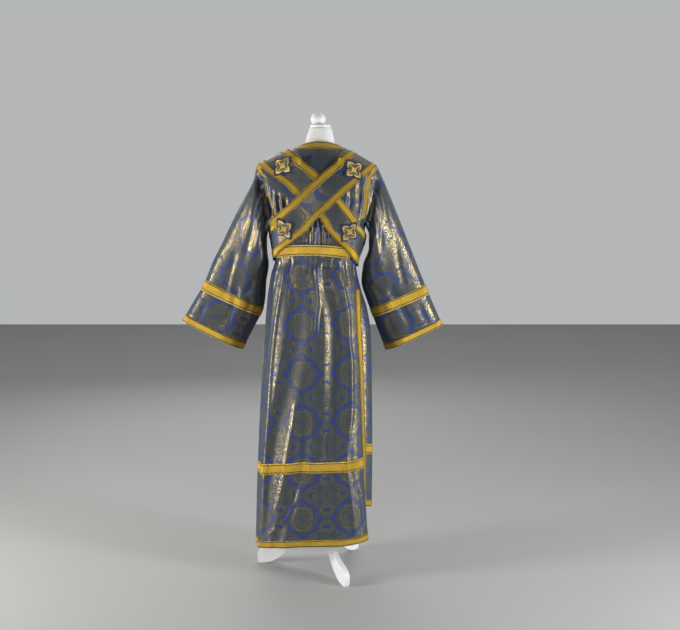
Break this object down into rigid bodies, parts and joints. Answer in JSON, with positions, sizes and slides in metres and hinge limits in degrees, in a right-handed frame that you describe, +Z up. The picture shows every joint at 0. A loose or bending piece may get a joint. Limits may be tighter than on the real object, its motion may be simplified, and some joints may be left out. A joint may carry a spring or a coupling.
{
  "type": "subdeacon's sticharion with crossed orarion on a limbless dress form",
  "caption": "Long brocade church robe with wide open sleeves and side slits, edged with gold braid, its crossed orarion tied over it, standing on a white dress form with a tripod.",
  "frame": {"origin": "on the floor, under the middle of the whole", "axes": "+Z up, +X to the wearer's right, +Y the way the wearer faces, so the robe's back with its crossed bands looks towards -Y"},
  "size_m": [0.9196, 0.3868, 1.612],
  "materials": {
    "brocade": "woven brocade of slate blue with gold thread and a bright blue trellis",
    "gold_braid": "ribbed gold braid with a dark dashed line along each edge",
    "embroidery": "raised gold thread on dark blue, with a corded outline",
    "form_cover": "matte white stretch cover",
    "white_wood": "white paint, satin"
  },
  "bodies": {
    "root": {"back_panel": "brocade", "front_panel": "brocade", "sleeve_left": "brocade", "sleeve_right": "brocade", "orarion_back_left": "brocade", "orarion_back_right": "brocade", "orarion_girdle": "brocade", "orarion_front_left": "brocade", "orarion_front_right": "brocade", "neck_braid_back": "gold_braid", "neck_braid_front": "gold_braid", "armhole_braid_back_left": "gold_braid", "armhole_braid_back_right": "gold_braid", "armhole_braid_front_left": "gold_braid", "armhole_braid_front_right": "gold_braid", "slit_braid_back_left": "gold_braid", "slit_braid_back_right": "gold_braid", "slit_braid_front_left": "gold_braid", "slit_braid_front_right": "gold_braid", "lower_band_back": "gold_braid", "lower_band_front": "gold_braid", "hem_braid_back": "gold_braid", "hem_braid_front": "gold_braid", "sleeve_left_band": "gold_braid", "sleeve_left_cuff_braid": "gold_braid", "sleeve_right_band": "gold_braid", "sleeve_right_cuff_braid": "gold_braid", "waist_ribbon": "gold_braid", "orarion_back_left_braid_inner": "gold_braid", "orarion_back_left_braid_outer": "gold_braid", "orarion_back_right_braid_inner": "gold_braid", "orarion_back_right_braid_outer": "gold_braid", "orarion_girdle_braid_inner": "gold_braid", "orarion_girdle_braid_outer": "gold_braid", "orarion_front_left_braid_inner": "gold_braid", "orarion_front_left_braid_outer": "gold_braid", "orarion_front_right_braid_inner": "gold_braid", "orarion_front_right_braid_outer": "gold_braid", "cross_upper_left": "embroidery", "cross_upper_right": "embroidery", "cross_lower_left": "embroidery", "cross_lower_right": "embroidery", "form_torso": "form_cover", "neck_cap": "white_wood", "neck_knob": "white_wood", "pole": "white_wood", "leg_hub": "white_wood", "leg_left": "white_wood", "leg_far": "white_wood", "leg_near": "white_wood"}
  },
  "joints": []
}
